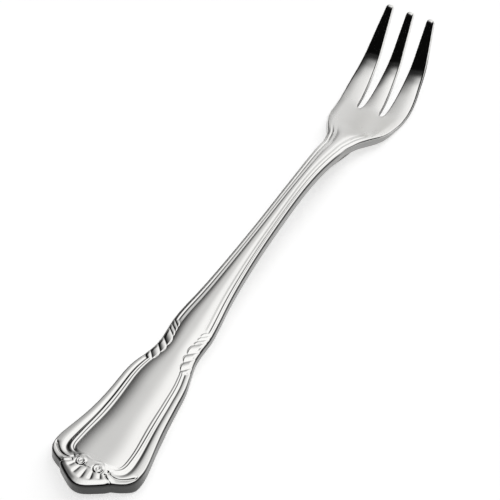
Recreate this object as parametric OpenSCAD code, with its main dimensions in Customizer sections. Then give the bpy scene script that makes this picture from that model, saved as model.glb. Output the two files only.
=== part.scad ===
// Oyster fork struck from one blank of stainless steel: a fiddle-shaped handle with a
// shell end, threaded borders and twisted knuckles, an arched shank and a dished head
// with three upswept tines. It lies along X, shell end at -X, tines up, on z = 0.

/* [Overall] */
// Length from the shell end to the tine tips
fork_l = 146; // [125:1:170]
// Height of the tine tips above the table
tip_h = 17.4; // [14:0.2:20]
// Height of the crest of the shank above the table
crest_h = 8.4; // [7:0.1:10]

/* [Handle] */
// Widest width, across the corners of the shell end
handle_w = 20.4; // [17:0.2:23]
// Width across the waist between the knuckles
waist_w = 9.4; // [8:0.2:11]
// Width of the swell just above the knuckles
swell_w = 9.8; // [8.4:0.2:11]
// Narrowest width of the shank
shank_w = 4.3; // [3.6:0.1:5.4]
// Thickness of the handle where it rests
handle_t = 3.0; // [2.4:0.1:3.8]
// Thickness of the shank at its narrowest
shank_t = 2.7; // [2.2:0.1:3.4]
// Radius of the rounded outer edge of the handle
edge_r = 0.55; // [0.3:0.05:0.8]

/* [Struck pattern] */
// Depth of the edge of the panel below the level of the borders
panel_d = 0.36; // [0.2:0.02:0.5]
// Rise of the crowned panel from its edge to its middle
panel_crown = 0.5; // [0.1:0.05:0.7]
// Width over which the panel rises
crown_run = 4.5; // [3:0.1:6]
// Height of the rim and threads above the same level
thread_h = 0.28; // [0.1:0.02:0.4]
// Height of the ribs of the shell
shell_h = 0.42; // [0.2:0.02:0.6]
// Number of shell ribs on each side of the middle line
rib_n = 3; // [2:1:4]
// Depth of the slits between the ribs
rib_d = 0.24; // [0.1:0.02:0.36]
// Height of the twisted lobes of the knuckles
lobe_h = 0.36; // [0.2:0.02:0.6]
// Radius of the scrolls behind the shell
scroll_r = 1; // [0.8:0.05:1.2]
// Height of the scrolls
scroll_h = 0.28; // [0.1:0.02:0.4]

/* [Head] */
// Widest width of the head
head_w = 17.1; // [15.5:0.1:19]
// Width across the tips of the outer tines
spread_w = 12.4; // [11.4:0.2:14]
// Thickness of the head where it rests
head_t = 1.4; // [1.2:0.05:1.8]
// Depth of the dish of the head, middle line to edge
dish_d = 0.4; // [0.2:0.05:0.8]
// Width over which the head rounds down to its edges
head_fall = 2; // [1:0.1:3]
// Length of the tines, tip to slot root, measured along X
tine_l = 20.4; // [17:0.1:23]
// Width of a slot at its rounded root
slot_w = 1.25; // [1:0.05:1.5]
// Width of the middle tine at the slot roots
tine_w = 4.5; // [4:0.05:5]
// Width of a tine at its tip
tip_w = 1.75; // [1.3:0.05:2]
// Thickness of a tine at its tip
tip_t = 1.35; // [1:0.05:1.6]
// Radius of the rounded tine tips
tip_r = 0.42; // [0.2:0.02:0.46]

/* [Hidden] */

// Side view of the top surface on the middle line, handle and shank:
// share of the length, share of the way from handle thickness up to the crest
shank_shares = [
    [0, 0.23], [0.025, 0.19], [0.055, 0.09], [0.085, 0.015], [0.115, 0], [0.14, 0.03],
    [0.17, 0.1], [0.2, 0.21], [0.225, 0.27], [0.249, 0.29], [0.274, 0.35], [0.304, 0.46],
    [0.334, 0.59], [0.364, 0.67], [0.419, 0.79], [0.479, 0.89], [0.539, 0.95], [0.598, 1],
    [0.638, 0.985], [0.678, 0.9], [0.713, 0.74], [0.743, 0.53], [0.773, 0.325],
    [0.798, 0.15], [0.823, -0.06], [0.848, -0.22]
];
// Side view, head: share of the length, share of the way from head thickness up to the
// tips, with one place past the tips to carry the slope on
tine_shares = [
    [0.866, 0.003], [0.883, 0.02], [0.895, 0.06], [0.907, 0.115], [0.919, 0.185],
    [0.931, 0.265], [0.943, 0.36], [0.953, 0.475], [0.963, 0.61], [0.973, 0.745],
    [0.983, 0.88], [0.992, 1], [1.01, 1.23]
];
// Half outline from the corner to the swell: share of the length, share of the way
// from half the waist out to half the handle width
handle_shares = [
    [0.072, 0.985], [0.085, 0.92], [0.1, 0.83], [0.115, 0.74], [0.13, 0.66],
    [0.145, 0.595], [0.16, 0.545], [0.175, 0.505], [0.19, 0.47], [0.205, 0.435],
    [0.219, 0.375], [0.234, 0.265], [0.249, 0.14], [0.264, 0.035], [0.279, 0]
];
// Half outline, swell to narrowest: share of the length, share of the way
// from half the shank width out to half the swell
shank_w_shares = [
    [0.294, 0.96], [0.308, 1], [0.324, 0.955], [0.344, 0.83], [0.369, 0.64], [0.399, 0.46],
    [0.439, 0.29], [0.479, 0.165], [0.519, 0.08], [0.559, 0.025], [0.598, 0],
    [0.633, 0.005], [0.663, 0.05], [0.698, 0.15], [0.728, 0.26]
];
// Half outline of the head to its widest place: share of the length, share of half
// the head width
head_shares = [
    [0.743, 0.35], [0.758, 0.41], [0.773, 0.49], [0.785, 0.6], [0.798, 0.72],
    [0.813, 0.835], [0.828, 0.9], [0.848, 0.945], [0.868, 0.98], [0.89, 1]
];
// Half outline of the outer tines: share of the length, share of the way from the
// spread of the tips out to the widest width
spread_shares = [
    [0.907, 0.945], [0.923, 0.815], [0.938, 0.71], [0.949, 0.62], [0.958, 0.505],
    [0.968, 0.365], [0.978, 0.21], [0.992, 0]
];
// Shell end about its fan centre: angle from the middle line in degrees,
// radius as a share of half the handle width
shell_shares = [
    [0, 1.03], [5, 1.022], [11, 0.998], [19, 0.96], [27, 0.935], [35, 0.92], [41.5, 0.9]
];
corner_shares = [
    [41.5, 0.9], [45, 0.915], [50, 0.945], [56, 0.985], [62, 1.02], [69, 1.033],
    [76, 1.022], [83, 1.006], [90, 0.99]
];
// Angle of the notch between shell and corner, and where the rays of the fan start
shell_angle = 41.5;
fan_x_share = 1.03;
fan_run_share = 0.1;
// Width of the border from edge to panel: round the shell end by angle, then share of
// the length, each with a share of half the handle width
end_border_shares = [
    [0, 0.745], [20, 0.68], [41.5, 0.535], [56, 0.49], [70, 0.46], [90, 0.42]
];
border_shares = [
    [0.072, 0.42], [0.1, 0.385], [0.14, 0.355], [0.18, 0.315], [0.22, 0.285], [0.24, 0.25],
    [0.264, 0.235], [0.289, 0.22], [0.309, 0.21], [0.35, 0.205], [0.42, 0.175], [0.5, 0.155],
    [0.58, 0.15], [0.678, 0.178], [0.718, 0.19], [0.748, 0.213], [0.773, 0.245],
    [0.8, 0.27]
];
// Thickness: share of the length, then shares of handle, shank and head thickness
thickness_shares = [
    [0, 0.97, 0, 0], [0.07, 1, 0, 0], [0.13, 1, 0, 0], [0.165, 0.92, 0, 0],
    [0.2, 0.84, 0, 0], [0.27, 0.81, 0, 0], [0.31, 0.42, 0.45, 0], [0.38, 0.2, 0.74, 0],
    [0.5, 0, 1.02, 0], [0.64, 0, 1, 0], [0.7, 0, 0.93, 0], [0.76, 0, 0.5, 0.7],
    [0.795, 0, 0.3, 1.05], [0.82, 0, 0, 1.42], [0.845, 0, 0, 1.12], [0.87, 0, 0, 1],
    [0.91, 0, 0, 1.15], [0.96, 0, 0, 1.13]
];
// Across the border, outer edge to panel: share of the border width, height share of the
// threads below the knuckle, and the same above it
border_line_shares = [
    [0.1, 0.25, 0.3], [0.2, 0.85, 0.8], [0.32, 1, 1], [0.43, 0.6, 0.75],
    [0.5, -0.9, 0.1], [0.57, 0.35, 0.55], [0.67, 0.75, 0.95], [0.76, 0.3, 1],
    [0.8, -0.1, 0.95], [0.86, 0.5, 0.75], [0.93, 0.3, 0.3]
];
// Places across the panel, as shares of the way from border to middle line
panel_shares = [0, 0.14, 0.34, 0.64, 1];
// Where the threads run out on the head, as shares of the length
thread_end_shares = [0.76, 0.797];
// Across a rounded edge: share of its radius inwards, share of it down
round_shares = [[0, 1], [0.12, 0.52], [0.45, 0.12]];
under_round_shares = [[0, 1], [0.3, 0.3], [1, 0]];
// Radius of the lower edges as a share of the upper ones, and of the head's edges as a
// share of its thickness
under_r_share = 0.8;
head_r_share = 0.2;

// Shell: how soon it rises and where it falls, and where its slits open and close, as
// shares of the border width; its level at the edge, as a share of its height
shell_rise_share = 0.2;
shell_fall_shares = [0.5, 0.8];
slit_shares = [0.17, 0.27, 0.3, 0.66];
shell_level_share = 0.25;
slit_power = 1.3;
// Angles at which the shell gives way to the threads
shell_side_angles = [38.5, 49.5];
// Scrolls: place, as shares of half the handle width, and the bar between them, its
// height and half width as shares of the height and radius of the scrolls
scroll_shares = [0.585, 0.204];
bar_shares = [0.6, 0.5];
// Leaf groove beside the shell: centre and radius of its arc, and where it starts, as
// shares of half the handle width
leaf_shares = [1.13, 0.62, 0.56];
leaf_from_shares = [0.38, 0.46];

// Lobes of the knuckle: places of the grooves between them, as shares of the length,
// their lean, the share of half the handle width at which they lie in from the edge,
// their middle and reach across the border, and how far they bulge over the panel
lobe_shares = [0.234, 0.243, 0.258, 0.272, 0.291, 0.2975, 0.304];
lobe_lean = 0.7;
lobe_in_share = 0.12;
lobe_across_shares = [0.5, 0.6];
lobe_bulge_share = 0.5;
// The part of the handle that lies flat on the table, and how soon it starts and ends,
// as shares of the length
rest_shares = [0.055, 0.135];
rest_fade_share = 0.02;
// Dish of the head: where it starts, is full, starts to fade and would be gone, and how
// far past flat the outer tines bend back at their tips
dish_shares = [0.73, 0.82, 0.9, 1];
droop_share = 1.5;
// Where the rows of the handle turn into those of the head, above and below
head_blend_shares = [0.74, 0.83];
under_blend_shares = [0.6, 0.83];
under_line_shares = [0.25, 0.55];
neck_share = 0.72;
// How soon the middle tine narrows and the slots open towards the tips
tine_taper = 1.1;
slot_taper = 1;
// Crown of a tine as a share of its half width, and how soon past the slot roots it is full
crown_share = 0.085;
crown_widths = 2;
// Places round a tine tip, as shares of its radius
tip_shares = [0.55, 0.85, 1];
// Step at which the slope of the side view is taken, as a share of the length
slope_step_share = 0.0005;

half_w = handle_w / 2;
fan_x = half_w * fan_x_share;
fan_run = half_w * fan_run_share;
root_x = fork_l - tine_l;
slot_y = tine_w / 2 + slot_w / 2;
under_r = under_r_share * edge_r;
head_r = head_r_share * head_t;
knuckle_from = lobe_shares[0] * fork_l;
knuckle_to = lobe_shares[len(lobe_shares) - 1] * fork_l;
scroll_at = scroll_shares * half_w;
leaf_at = [leaf_shares[0], leaf_shares[1]] * half_w;
leaf_r = leaf_shares[2] * half_w;

// Smooth curve through a table of points [x, value], by cubic pieces
function cell(t, x, i = 0) = i >= len(t) - 2 || x < t[i + 1][0] ? i : cell(t, x, i + 1);
function slope(t, i) =
    let (lo = max(i - 1, 0), hi = min(i + 1, len(t) - 1))
    (t[hi][1] - t[lo][1]) / (t[hi][0] - t[lo][0]);
function curve(t, x) =
    let (
        i = cell(t, x),
        run = t[i + 1][0] - t[i][0],
        s = min(max((x - t[i][0]) / run, 0), 1)
    )
    t[i][1] * (1 + 2 * s) * pow(1 - s, 2) + t[i + 1][1] * s * s * (3 - 2 * s)
    + run * (slope(t, i) * s * pow(1 - s, 2) - slope(t, i + 1) * s * s * (1 - s));
// Smooth step from 0 to 1, and a smooth hump of height 1 about 0
function ramp(x, from, to) =
    let (s = min(max((x - from) / (to - from), 0), 1))
    s * s * (3 - 2 * s);
function bump(d, r) = d < r ? pow(cos(90 * d / r), 2) : 0;
function scaled(t, k, base, span) = [for (p = t) [p[0] * k, base + p[1] * span]];
function steps(from, to, n) = [for (i = [1:n]) from + (to - from) * i / n];
// Ramp between two shares of the length
function along_fork(x, shares) = ramp(x, shares[0] * fork_l, shares[1] * fork_l);

profile = concat(
    scaled(shank_shares, fork_l, handle_t, crest_h - handle_t),
    scaled(tine_shares, fork_l, head_t, tip_h - head_t)
);
outline = concat(
    scaled(handle_shares, fork_l, waist_w / 2, half_w - waist_w / 2),
    scaled(shank_w_shares, fork_l, shank_w / 2, swell_w / 2 - shank_w / 2),
    scaled(head_shares, fork_l, 0, head_w / 2),
    scaled(spread_shares, fork_l, spread_w / 2, head_w / 2 - spread_w / 2)
);
border = scaled(border_shares, fork_l, 0, half_w);
end_border = scaled(end_border_shares, 1, 0, half_w);
thickness = concat(
    [for (p = thickness_shares)
        [p[0] * fork_l, p[1] * handle_t + p[2] * shank_t + p[3] * head_t]],
    [[fork_l, tip_t]]
);
shell_line = scaled(shell_shares, 1, 0, half_w);
corner_line = scaled(corner_shares, 1, 0, half_w);

function top_z(x) = curve(profile, x);
function tilt(x) =
    let (step = slope_step_share * fork_l)
    atan((top_z(x + step) - top_z(x - step)) / (2 * step));
// Thickness under a point, with the rest stretch of the handle brought down to the table
function thick(x) =
    let (
        fade = rest_fade_share * fork_l,
        from = rest_shares[0] * fork_l,
        to = rest_shares[1] * fork_l,
        rest = ramp(x, from - fade, from) * (1 - ramp(x, to, to + fade))
    )
    curve(thickness, x) * (1 - rest) + rest * top_z(x) / cos(tilt(x));
function dish(x, y) =
    dish_d * pow(2 * y / head_w, 2) * along_fork(x, dish_shares)
    * (1 - droop_share * along_fork(x, [dish_shares[2], dish_shares[3]]));
// A place on the fork: x and y in plan, h up from the top surface's middle line
function place(x, y, h) =
    let (a = tilt(x), lift = h + dish(x, y))
    [x - lift * sin(a), y, top_z(x) + lift * cos(a)];

// Stations: [x on the middle line, x at the edge, y at the edge, fan angle or 90]
shell_steps = 4 * rib_n;
corner_steps = 12;
handle_steps = 12;
knuckle_steps = 20;
shank_steps = 14;
neck_steps = 11;
tine_steps = 12;
fan_angles = concat(
    [for (i = [0:shell_steps]) shell_angle * i / shell_steps],
    [for (i = [1:corner_steps]) shell_angle + (90 - shell_angle) * i / corner_steps]
);
function fan_radius(a) = a <= shell_angle ? curve(shell_line, a) : curve(corner_line, a);
fan_stations = [for (a = fan_angles) [
    fan_x - fan_run * (1 - a / 90),
    fan_x - fan_radius(a) * cos(a),
    fan_radius(a) * sin(a),
    a
]];
neck_x = neck_share * fork_l;
// The end face of a tine is square to it, so its lower edge reaches furthest
tip_x = fork_l - tip_t * sin(tilt(fork_l - tip_t));
straight_x = concat(
    steps(fan_x, knuckle_from, handle_steps),
    steps(knuckle_from, knuckle_to, knuckle_steps),
    steps(knuckle_to, neck_x, shank_steps),
    steps(neck_x, root_x - slot_w / 2, neck_steps)
);
tine_x = concat(
    [root_x + slot_w / 2],
    steps(root_x + slot_w / 2, tip_x - tip_r, tine_steps),
    [for (s = tip_shares) tip_x - tip_r + s * tip_r]
);
plain_stations = [for (x = concat(straight_x, tine_x)) [x, x, curve(outline, x), 90]];
stations = concat(fan_stations, plain_stations);
root_i = len(fan_stations) + len(straight_x);
last_i = len(stations) - 1;
function half_width(st) = norm([st[1] - st[0], st[2]]);

// How far a place lies into a lobe of the knuckle, 0 in a groove and 1 on its crest
function lobe_cell(s, i = 0) =
    i >= len(lobe_shares) - 2 || s < lobe_shares[i + 1] ? i : lobe_cell(s, i + 1);
function lobe_at(x, y, w) =
    let (
        s = (x - lobe_lean * (y - w + lobe_in_share * half_w)) / fork_l,
        i = lobe_cell(s)
    )
    s <= lobe_shares[0] || s >= lobe_shares[len(lobe_shares) - 1] ? 0
    : abs(sin(180 * (s - lobe_shares[i]) / (lobe_shares[i + 1] - lobe_shares[i])));
function knuckle(x) =
    ramp(x, knuckle_from - edge_r, knuckle_from + edge_r)
    * (1 - ramp(x, knuckle_to - edge_r, knuckle_to + edge_r));

// Border width on a station, with the scalloped inner edge of the knuckle
function border_at(st) =
    let (plain = curve(border, st[1]))
    st[3] < 90 ? curve(end_border, st[3])
    : plain + lobe_bulge_share * lobe_h * lobe_at(st[0], st[2] - plain, st[2]) * knuckle(st[0]);

// Crowned panel: its height at a place in plan, rising from both long sides to the middle
function panel_h(p) =
    let (
        x = max(p[0], fan_x),
        half = curve(outline, x) - curve(border, x),
        run = min(crown_run, half),
        s = min(max((half - abs(p[1])) / run, 0), 1)
    )
    panel_crown * run / crown_run * (1 - pow(1 - s, 3)) - panel_d;

// Relief of the shell, its scrolls and the leaf groove beside it
function shell_relief(st, d, p, b) =
    let (
        r = d / b,
        rise = shell_level_share + (1 - shell_level_share) * ramp(r, 0, shell_rise_share),
        fall = ramp(r, shell_fall_shares[0], shell_fall_shares[1]),
        slit = pow(1 - abs(sin(180 * rib_n * st[3] / shell_angle)), slit_power)
            * ramp(r, slit_shares[0], slit_shares[1])
            * (1 - ramp(r, slit_shares[2], slit_shares[3])),
        scroll = bump(norm(p - scroll_at), scroll_r),
        bar = p[1] < scroll_at[1] ? bump(abs(p[0] - scroll_at[0]), bar_shares[1] * scroll_r) : 0
    )
    shell_h * rise * (1 - fall) + panel_h(p) * fall - rib_d * slit
    + scroll_h * max(scroll, bar_shares[0] * bar);
function leaf_relief(p) =
    -shell_h * bump(abs(norm(p - leaf_at) - leaf_r), edge_r)
    * ramp(p[1], leaf_from_shares[0] * half_w, leaf_from_shares[1] * half_w)
    * (p[0] < leaf_at[0] ? 1 : 0);

// Half rows of each station, outer edge to middle line: [distance in, height]
function thread_row(st) =
    let (
        b = border_at(st),
        w = half_width(st),
        above = ramp(st[0], knuckle_from, knuckle_to),
        fade = 1 - along_fork(st[0], thread_end_shares),
        shell = 1 - ramp(st[3], shell_side_angles[0], shell_side_angles[1])
    )
    concat(
        [for (r = round_shares) [r[0] * edge_r, -r[1] * edge_r]],
        [for (c = border_line_shares)
            let (
                d = edge_r + c[0] * (b - edge_r),
                p = [st[1] + (st[0] - st[1]) * d / w, st[2] * (1 - d / w)],
                plain = thread_h * (c[1] * (1 - above) + c[2] * above) * (1 - knuckle(st[0])),
                across = bump(abs(c[0] - lobe_across_shares[0]), lobe_across_shares[1]),
                lobes = knuckle(st[0]) * lobe_h * lobe_at(st[0], p[1], st[2]) * across,
                leaf = st[3] < 90 ? leaf_relief(p) : 0
            )
            [d, fade * ((plain + lobes) * (1 - shell) + shell_relief(st, d, p, b) * shell + leaf)]],
        [for (c = panel_shares)
            let (
                d = b + c * (w - b),
                p = [st[1] + (st[0] - st[1]) * d / w, st[2] * (1 - d / w)]
            )
            [d, fade * panel_h(p)]]
    );
// Places across the head: outer tine, web or slot, half the middle tine
tine_cols = 9;
web_cols = 4;
mid_cols = 5;
function along_tine(st) = max((st[0] - root_x) / (tip_x - root_x), 0);
function inner_y(st) = (tine_w + (tip_w - tine_w) * pow(along_tine(st), tine_taper)) / 2;
function outer_y(st) =
    let (root = tine_w / 2 + slot_w, tip = spread_w / 2 - tip_w)
    root + (tip - root) * pow(along_tine(st), slot_taper);
// How far the rounded tip draws the faces of a tine in
function tip_in(st) =
    let (s = min(max((st[0] - tip_x) / tip_r + 1, 0), 1))
    tip_r * (1 - sqrt(1 - s * s));
// Fall of the head to its edges, which past the slot roots turns into the crown of each tine
function head_crown(st, d) =
    let (
        w = st[2],
        y = w - d,
        a = inner_y(st),
        b = outer_y(st),
        on_outer = y > (a + b) / 2,
        half = on_outer ? (w - b) / 2 : a,
        across = min(abs(on_outer ? y - (w + b) / 2 : y) / half, 1),
        on = ramp(st[0], root_x - slot_w / 2, root_x + crown_widths * slot_w),
        fall = head_fall * pow(max(1 - d / head_fall, 0), 2)
    )
    -crown_share * (half * pow(across, 2) * on + fall * (1 - on)) - tip_in(st);
function head_row(st) =
    let (
        t = tip_in(st),
        a = inner_y(st) - t,
        b = outer_y(st) + t,
        w = st[2],
        n = len(round_shares),
        from = t + head_r,
        flat = concat(
            [for (k = [n:tine_cols]) from + (w - b - from) * (k - n + 1) / (tine_cols - n + 1)],
            [for (k = [1:web_cols - 1]) w - (a + b) / 2 - (b - a) / 2 * cos(180 * k / web_cols)],
            [for (k = [0:mid_cols]) w - a * (1 - k / mid_cols)]
        )
    )
    concat(
        [for (r = round_shares)
            let (d = t + r[0] * head_r)
            [d, head_crown(st, d) - r[1] * head_r]],
        [for (d = flat) [d, head_crown(st, d)]]
    );
function mixed(p, q, k) = [for (i = [0:len(p) - 1]) p[i] * (1 - k) + q[i] * k];
function top_row(st) =
    let (k = along_fork(st[0], head_blend_shares))
    k == 0 ? thread_row(st) : k == 1 ? head_row(st) : mixed(thread_row(st), head_row(st), k);
// Half rows of the underside, outer edge to middle line
function under_row(st) =
    let (
        t = tip_in(st),
        a = inner_y(st) - t,
        b = outer_y(st) + t,
        w = half_width(st),
        k = along_fork(st[0], under_blend_shares),
        r = under_r * (1 - k) + head_r * k,
        ya = a * k + under_line_shares[0] * w * (1 - k),
        yb = b * k + under_line_shares[1] * w * (1 - k)
    )
    concat(
        [for (s = under_round_shares) [t + s[0] * r, t + s[1] * r]],
        [[(t + r + w - yb) / 2, t], [w - yb, t]],
        [for (c = [1:web_cols - 1]) [w - (ya + yb) / 2 - (yb - ya) / 2 * cos(180 * c / web_cols), t]],
        [[w - ya, t], [w - ya / 2, t], [w, t]]
    );

top_n = len(round_shares) + len(border_line_shares) + len(panel_shares);
under_n = len(under_round_shares) + 2 + web_cols - 1 + 3;
top_full = 2 * top_n - 1;
under_full = 2 * under_n - 1;
ring_n = top_full + under_full;
// The root station bends back to the rounded slot root between the tines
function root_back(i, y) =
    i == root_i && abs(abs(y) - slot_y) < slot_w / 2
    ? sqrt(pow(slot_w / 2, 2) - pow(abs(y) - slot_y, 2)) : 0;
function row_points(i, row, side, under) =
    let (st = stations[i], w = half_width(st))
    [for (r = row)
        let (
            y = st[2] * (1 - r[0] / w),
            x = st[1] + (st[0] - st[1]) * r[0] / w - root_back(i, y)
        )
        place(x, side * y, under ? r[1] - thick(x) : r[1])];
function reversed(v, skip) = [for (i = [len(v) - 1 - skip:-1:0]) v[i]];
points = [for (i = [0:last_i])
    let (t = top_row(stations[i]), u = under_row(stations[i]))
    each concat(
        row_points(i, t, 1, false), reversed(row_points(i, t, -1, false), 1),
        row_points(i, u, 1, true), reversed(row_points(i, u, -1, true), 1)
    )];

// Point numbers: s is 1 on the +Y half and -1 on the other. Both halves share the first
// station, which ends on the middle-line point of the second
function top_id(i, k, s) =
    i == 0 && k == top_n - 1 ? top_id(1, k, s)
    : i * ring_n + (s > 0 || i == 0 ? k : top_full - 1 - k);
function under_id(i, k, s) =
    i == 0 && k == under_n - 1 ? under_id(1, k, s)
    : i * ring_n + top_full + (s > 0 || i == 0 ? k : under_full - 1 - k);
function triangle(a, b, c, s) = a == b || b == c || c == a ? [] : s > 0 ? [[a, c, b]] : [[a, b, c]];
function quad(a, b, c, d, s) = concat(triangle(a, b, c, s), triangle(a, c, d, s));
mid_k = tine_cols + web_cols;
under_tine_k = len(under_round_shares) + 1;
under_mid_k = under_tine_k + web_cols;
function open_top(i, k) = i >= root_i && k >= tine_cols && k < mid_k;
function open_under(i, k) = i >= root_i && k >= under_tine_k && k < under_mid_k;
// Top, underside and outer wall of one half
function skin(s) = concat(
    [for (i = [0:last_i - 1], k = [0:top_n - 2]) if (!open_top(i, k))
        each quad(top_id(i, k, s), top_id(i, k + 1, s), top_id(i + 1, k + 1, s),
            top_id(i + 1, k, s), s)],
    [for (i = [0:last_i - 1], k = [0:under_n - 2]) if (!open_under(i, k))
        each quad(under_id(i, k, s), under_id(i + 1, k, s), under_id(i + 1, k + 1, s),
            under_id(i, k + 1, s), s)],
    [for (i = [0:last_i - 1])
        each quad(top_id(i, 0, s), top_id(i + 1, 0, s), under_id(i + 1, 0, s), under_id(i, 0, s), s)]
);
// Walls of the slot on one half: outer side, inner side and rounded root
function slot_walls(s) = concat(
    [for (i = [root_i:last_i - 1])
        each quad(top_id(i, tine_cols, s), under_id(i, under_tine_k, s),
            under_id(i + 1, under_tine_k, s), top_id(i + 1, tine_cols, s), s)],
    [for (i = [root_i:last_i - 1])
        each quad(top_id(i, mid_k, s), top_id(i + 1, mid_k, s),
            under_id(i + 1, under_mid_k, s), under_id(i, under_mid_k, s), s)],
    [for (k = [0:web_cols - 1])
        each quad(top_id(root_i, tine_cols + k, s), top_id(root_i, tine_cols + k + 1, s),
            under_id(root_i, under_tine_k + k + 1, s), under_id(root_i, under_tine_k + k, s), s)]
);
// End face of one tine, as a strip between its top and under rows
function tip_cap(s, from, to, under_from, under_to) = concat(
    [for (k = [from:to - 1])
        each triangle(top_id(last_i, k, s), top_id(last_i, k + 1, s),
            under_id(last_i, nearest(k, from, to, under_from, under_to), s), s)],
    [for (v = [under_from:under_to - 1])
        each triangle(top_id(last_i, cap_turn(v, from, to, under_from, under_to), s),
            under_id(last_i, v + 1, s), under_id(last_i, v, s), s)]
);
function nearest(k, from, to, under_from, under_to) =
    under_from + floor((under_to - under_from) * (k - from) / (to - from));
function cap_turn(v, from, to, under_from, under_to) =
    min([for (k = [from:to]) if (k == to || nearest(k, from, to, under_from, under_to) > v) k]);
faces = [for (s = [1, -1]) each concat(
    skin(s),
    slot_walls(s),
    tip_cap(s, 0, tine_cols, 0, under_tine_k),
    tip_cap(s, mid_k, top_n - 1, under_mid_k, under_n - 1)
)];
middle_x = (min([for (p = points) p[0]]) + max([for (p = points) p[0]])) / 2;

module fork() {
    color("gainsboro")
        translate([-middle_x, 0, 0])
            polyhedron(points = points, faces = faces, convexity = 8);
}

fork();
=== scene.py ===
import math

import bmesh
import bpy
import numpy as np
from mathutils import Euler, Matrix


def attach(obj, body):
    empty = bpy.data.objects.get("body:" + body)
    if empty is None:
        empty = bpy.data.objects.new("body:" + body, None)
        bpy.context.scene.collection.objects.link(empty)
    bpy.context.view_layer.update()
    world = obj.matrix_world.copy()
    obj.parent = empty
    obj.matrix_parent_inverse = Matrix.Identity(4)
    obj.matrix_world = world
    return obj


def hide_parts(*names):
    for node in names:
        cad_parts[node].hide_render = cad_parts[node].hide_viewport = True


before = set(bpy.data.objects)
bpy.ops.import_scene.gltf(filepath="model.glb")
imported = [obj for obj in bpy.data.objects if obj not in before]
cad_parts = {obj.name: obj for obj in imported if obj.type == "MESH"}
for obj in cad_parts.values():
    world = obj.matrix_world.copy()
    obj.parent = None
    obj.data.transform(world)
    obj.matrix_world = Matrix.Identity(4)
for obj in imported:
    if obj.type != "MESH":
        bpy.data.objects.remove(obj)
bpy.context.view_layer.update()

# All sizes below are millimetres; MM turns them into metres
MM = 0.001

# Sizes of the outline and the side view, as in the solid, whose handle is a thousandth
# wider, so that the rounded outline stays inside its box
FORK_L = 146.0
TIP_H = 17.4
CREST_H = 8.4
HANDLE_W = 20.399
WAIST_W = 9.4
SWELL_W = 9.8
SHANK_W = 4.3
HEAD_W = 17.1
SPREAD_W = 12.4
HANDLE_T = 3.0
SHANK_T = 2.7
HEAD_T = 1.4
TIP_T = 1.35
TINE_L = 20.4
TINE_W = 4.5
TIP_W = 1.75
TINE_TAPER = 1.1
SLOT_W = 1.25
HALF_W = HANDLE_W / 2
ROOT_X = FORK_L - TINE_L
SLOT_Y = (TINE_W + SLOT_W) / 2
# Radii of the edges: top of handle and shank, top round the shell end, underside, top of
# the head, tines and slots
EDGE_R = 0.45
END_R = 0.48
UNDER_R = 0.44
HEAD_R = 0.4
TINE_R = 0.45
SLOT_R = 0.25
# Rounding of the tine tips, and how far it lowers the surface and shrinks the edge radii
TIP_R = 0.6
TIP_DROP = 0.72
TIP_SHRINK = 0.65
# Heights of the relief
THREAD_H = 0.28
SHELL_H = 0.42
LOBE_H = 0.24
SCROLL_H = 0.12
# Hollow of the head across its width, its fall near the edges, and the crown of each tine
# as a share of its half width, less on the side of the slot
DISH_D = 0.1
FALL_SHARE = 0.16
HEAD_FALL = 2.0
CROWN_SHARE = 0.085
INNER_CROWN = 0.5

# Side view of the top surface, handle and shank: share of the length, share of the way
# from handle thickness up to the crest
SHANK_SHARES = [
    (0, 0.23), (0.025, 0.19), (0.055, 0.09), (0.085, 0.015), (0.115, 0), (0.14, 0.03),
    (0.17, 0.1), (0.2, 0.21), (0.225, 0.27), (0.249, 0.29), (0.274, 0.35), (0.304, 0.46),
    (0.334, 0.59), (0.364, 0.67), (0.419, 0.79), (0.479, 0.89), (0.539, 0.95), (0.598, 1),
    (0.638, 0.985), (0.678, 0.9), (0.713, 0.74), (0.743, 0.53), (0.773, 0.325),
    (0.798, 0.15), (0.823, -0.06), (0.848, -0.22),
]
# Side view, head: share of the length, share of the way from head thickness to the tips
TINE_SHARES = [
    (0.866, 0.003), (0.883, 0.02), (0.895, 0.06), (0.907, 0.115), (0.919, 0.185),
    (0.931, 0.265), (0.943, 0.36), (0.953, 0.475), (0.963, 0.61), (0.973, 0.745),
    (0.983, 0.88), (0.992, 1), (1.01, 1.23),
]
# Half outline in four stretches, as in the solid: handle, shank, head and tines
HANDLE_SHARES = [
    (0.072, 0.985), (0.085, 0.92), (0.1, 0.83), (0.115, 0.74), (0.13, 0.66),
    (0.145, 0.595), (0.16, 0.545), (0.175, 0.505), (0.19, 0.47), (0.205, 0.435),
    (0.219, 0.375), (0.234, 0.265), (0.249, 0.14), (0.264, 0.035), (0.279, 0),
]
SHANK_W_SHARES = [
    (0.294, 0.96), (0.308, 1), (0.324, 0.955), (0.344, 0.83), (0.369, 0.64), (0.399, 0.46),
    (0.439, 0.29), (0.479, 0.165), (0.519, 0.08), (0.559, 0.025), (0.598, 0),
    (0.633, 0.005), (0.663, 0.05), (0.698, 0.15), (0.728, 0.26),
]
HEAD_SHARES = [
    (0.743, 0.35), (0.758, 0.41), (0.773, 0.49), (0.785, 0.6), (0.798, 0.72),
    (0.813, 0.835), (0.828, 0.9), (0.848, 0.945), (0.868, 0.98), (0.89, 1),
]
SPREAD_SHARES = [
    (0.907, 0.945), (0.923, 0.815), (0.938, 0.71), (0.949, 0.62), (0.958, 0.505),
    (0.968, 0.365), (0.978, 0.21), (0.992, 0),
]
# Shell end and its corners about the fan centre: degrees, radius as a share of half the
# handle width
SHELL_ANGLE = 41.5
SHELL_SHARES = [
    (0, 1.03), (5, 1.022), (11, 0.998), (19, 0.96), (27, 0.935), (35, 0.92),
    (SHELL_ANGLE, 0.9),
]
CORNER_SHARES = [
    (SHELL_ANGLE, 0.9), (45, 0.915), (50, 0.945), (56, 0.985), (62, 1.02), (69, 1.033),
    (76, 1.022), (83, 1.006), (90, 0.99),
]
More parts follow.
